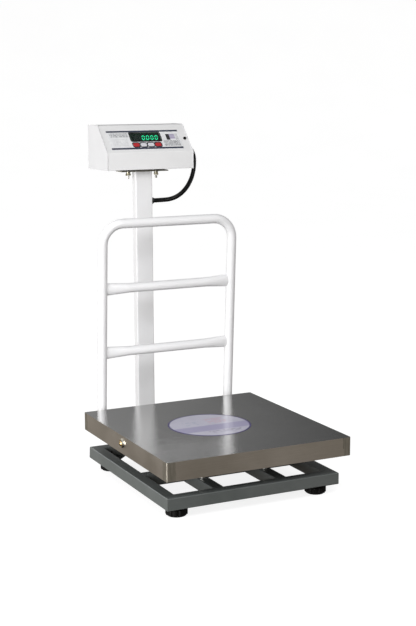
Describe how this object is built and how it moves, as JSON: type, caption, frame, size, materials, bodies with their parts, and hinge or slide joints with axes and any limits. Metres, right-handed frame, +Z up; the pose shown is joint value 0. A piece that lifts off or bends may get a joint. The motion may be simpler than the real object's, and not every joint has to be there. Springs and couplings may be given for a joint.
{
  "type": "platform shipping scale",
  "caption": "Platform shipping scale: stainless pan on a tube base with levelling feet, white goods guard, and a digital indicator on a rear post.",
  "frame": {"origin": "on the floor, under the middle of the scale's overall box, feet at z = 0", "axes": "+Z up; -Y is the operator's side, where the indicator faces; +X to the operator's right"},
  "size_m": [0.515, 0.781, 0.904],
  "materials": {
    "hammer_grey": "grey-green stove enamel, satin",
    "white_paint": "white powder coat, satin",
    "housing_paint": "off-white fine powder coat",
    "panel_paint": "off-white fine powder coat",
    "stainless": "brushed stainless sheet",
    "zinc": "zinc-plated steel",
    "bright_zinc": "bright plated steel",
    "wing_steel": "yellow-passivated steel",
    "strip_steel": "plain plated steel strip",
    "dark_steel": "black oxide steel",
    "cell_aluminium": "clear anodised",
    "cable_black": "satin cable jacket",
    "conduit_black": "corrugated conduit",
    "rubber_black": "matt rubber",
    "knob_black": "moulded knob on a steel stud",
    "black_plastic": "moulded",
    "overlay_film": "printed silver-grey film with dark blue bands",
    "window_dark": "smoked clear window",
    "digit_plastic": "green seven-segment displays",
    "circuit_board": "fibreglass board",
    "brass": "turned brass",
    "battery_case": "battery case",
    "transformer_steel": "laminated core with wound coil",
    "key_red": "moulded key",
    "key_white": "moulded key",
    "label_film": "printed round label"
  },
  "bodies": {
    "base": {"base_inner_tubes": "hammer_grey", "base_ring_tubes": "hammer_grey", "battery": "battery_case", "board_standoffs": "brass", "conduit_glands": "black_plastic", "corner_gussets": "hammer_grey", "display_digits": "digit_plastic", "display_window": "window_dark", "end_panel_left": "panel_paint", "end_panel_right": "panel_paint", "end_panel_screws": "panel_paint", "fascia_overlay": "overlay_film", "foot_nuts": "zinc", "front_board": "circuit_board", "housing_shell": "housing_paint", "load_cell": "cell_aluminium", "load_cell_cable": "cable_black", "load_cell_lower_bolts": "zinc", "load_cell_lower_plate": "zinc", "main_board": "circuit_board", "mains_inlet": "black_plastic", "overload_stops": "zinc", "post": "white_paint", "post_arms": "hammer_grey", "post_foot_bolts": "zinc", "power_switch_body": "black_plastic", "signal_conduit": "conduit_black", "strip_spacer_nuts": "dark_steel", "strip_studs": "zinc", "top_strip": "strip_steel", "transformer": "transformer_steel"},
    "deck": {"deck_ring_tubes": "hammer_grey", "deck_inner_tubes": "hammer_grey", "deck_pads": "rubber_black", "load_cell_upper_plate": "zinc", "load_cell_upper_bolts": "zinc", "pan": "stainless", "pan_label": "label_film", "pan_side_screws": "bright_zinc", "guard_hoop": "white_paint", "guard_cross_bars": "white_paint", "guard_brackets": "white_paint", "guard_bolts": "zinc"},
    "power_button": {"power_button": "black_plastic"},
    "key_1": {"key_1": "key_red"},
    "key_2": {"key_2": "key_white"},
    "key_3": {"key_3": "key_white"},
    "key_4": {"key_4": "key_red"},
    "foot_sole_front_left": {"foot_sole_front_left": "rubber_black"},
    "foot_screw_front_left": {"foot_screw_front_left": "knob_black"},
    "foot_sole_front_right": {"foot_sole_front_right": "rubber_black"},
    "foot_screw_front_right": {"foot_screw_front_right": "knob_black"},
    "foot_sole_rear_left": {"foot_sole_rear_left": "rubber_black"},
    "foot_screw_rear_left": {"foot_screw_rear_left": "knob_black"},
    "foot_sole_rear_right": {"foot_sole_rear_right": "rubber_black"},
    "foot_screw_rear_right": {"foot_screw_rear_right": "knob_black"},
    "wing_washer_left": {"wing_washer_left": "zinc"},
    "wing_nut_left": {"wing_nut_left": "wing_steel"},
    "wing_washer_right": {"wing_washer_right": "zinc"},
    "wing_nut_right": {"wing_nut_right": "wing_steel"}
  },
  "joints": [
    {"name": "deck_weigh", "type": "slide", "parent": "base", "child": "deck", "axis": [0, 0, -1], "range_m": [0, 0.001], "stiffness_N_per_m": 1470000, "springref_m": -0.00009, "deforming": ["load_cell"]},
    {"name": "key_1_press", "type": "slide", "parent": "base", "child": "key_1", "axis": [0, 0.717, -0.6971], "range_m": [0, 0.0005], "stiffness_N_per_m": 2000},
    {"name": "key_2_press", "type": "slide", "parent": "base", "child": "key_2", "axis": [0, 0.717, -0.6971], "range_m": [0, 0.0005], "stiffness_N_per_m": 2000},
    {"name": "key_3_press", "type": "slide", "parent": "base", "child": "key_3", "axis": [0, 0.717, -0.6971], "range_m": [0, 0.0005], "stiffness_N_per_m": 2000},
    {"name": "key_4_press", "type": "slide", "parent": "base", "child": "key_4", "axis": [0, 0.717, -0.6971], "range_m": [0, 0.0005], "stiffness_N_per_m": 2000},
    {"name": "power_button_press", "type": "slide", "parent": "base", "child": "power_button", "axis": [0, 0.717, -0.6971], "range_m": [0, 0.002], "stiffness_N_per_m": 800},
    {"name": "foot_front_left_height", "type": "slide", "parent": "base", "child": "foot_sole_front_left", "axis": [0, 0, -1], "range_m": [-0.002, 0.012]},
    {"name": "foot_front_left_turn", "type": "hinge", "parent": "foot_sole_front_left", "child": "foot_screw_front_left", "pos_m": [-0.1925, -0.318, 0], "axis": [0, 0, -1], "range_deg": [-480, 2880]},
    {"name": "foot_front_right_height", "type": "slide", "parent": "base", "child": "foot_sole_front_right", "axis": [0, 0, -1], "range_m": [-0.002, 0.012]},
    {"name": "foot_front_right_turn", "type": "hinge", "parent": "foot_sole_front_right", "child": "foot_screw_front_right", "pos_m": [0.1925, -0.318, 0], "axis": [0, 0, -1], "range_deg": [-480, 2880]},
    {"name": "foot_rear_left_height", "type": "slide", "parent": "base", "child": "foot_sole_rear_left", "axis": [0, 0, -1], "range_m": [-0.002, 0.012]},
    {"name": "foot_rear_left_turn", "type": "hinge", "parent": "foot_sole_rear_left", "child": "foot_screw_rear_left", "pos_m": [-0.1925, 0.1, 0], "axis": [0, 0, -1], "range_deg": [-480, 2880]},
    {"name": "foot_rear_right_height", "type": "slide", "parent": "base", "child": "foot_sole_rear_right", "axis": [0, 0, -1], "range_m": [-0.002, 0.012]},
    {"name": "foot_rear_right_turn", "type": "hinge", "parent": "foot_sole_rear_right", "child": "foot_screw_rear_right", "pos_m": [0.1925, 0.1, 0], "axis": [0, 0, -1], "range_deg": [-480, 2880]},
    {"name": "wing_left_drop", "type": "slide", "parent": "base", "child": "wing_washer_left", "axis": [0, 0, -1], "range_m": [0, 0.01]},
    {"name": "wing_left_turn", "type": "hinge", "parent": "wing_washer_left", "child": "wing_nut_left", "pos_m": [-0.042, 0.3103, 0.765], "axis": [0, 0, -1], "range_deg": [0, 3600]},
    {"name": "wing_right_drop", "type": "slide", "parent": "base", "child": "wing_washer_right", "axis": [0, 0, -1], "range_m": [0, 0.01]},
    {"name": "wing_right_turn", "type": "hinge", "parent": "wing_washer_right", "child": "wing_nut_right", "pos_m": [0.042, 0.3103, 0.765], "axis": [0, 0, -1], "range_deg": [0, 3600]}
  ],
  "couplings": [
    {"joint": "foot_front_left_turn", "follows": "foot_front_left_height", "rad_per_m": 4188.8},
    {"joint": "foot_front_right_turn", "follows": "foot_front_right_height", "rad_per_m": 4188.8},
    {"joint": "foot_rear_left_turn", "follows": "foot_rear_left_height", "rad_per_m": 4188.8},
    {"joint": "foot_rear_right_turn", "follows": "foot_rear_right_height", "rad_per_m": 4188.8},
    {"joint": "wing_left_turn", "follows": "wing_left_drop", "rad_per_m": 6283.2},
    {"joint": "wing_right_turn", "follows": "wing_right_drop", "rad_per_m": 6283.2}
  ]
}
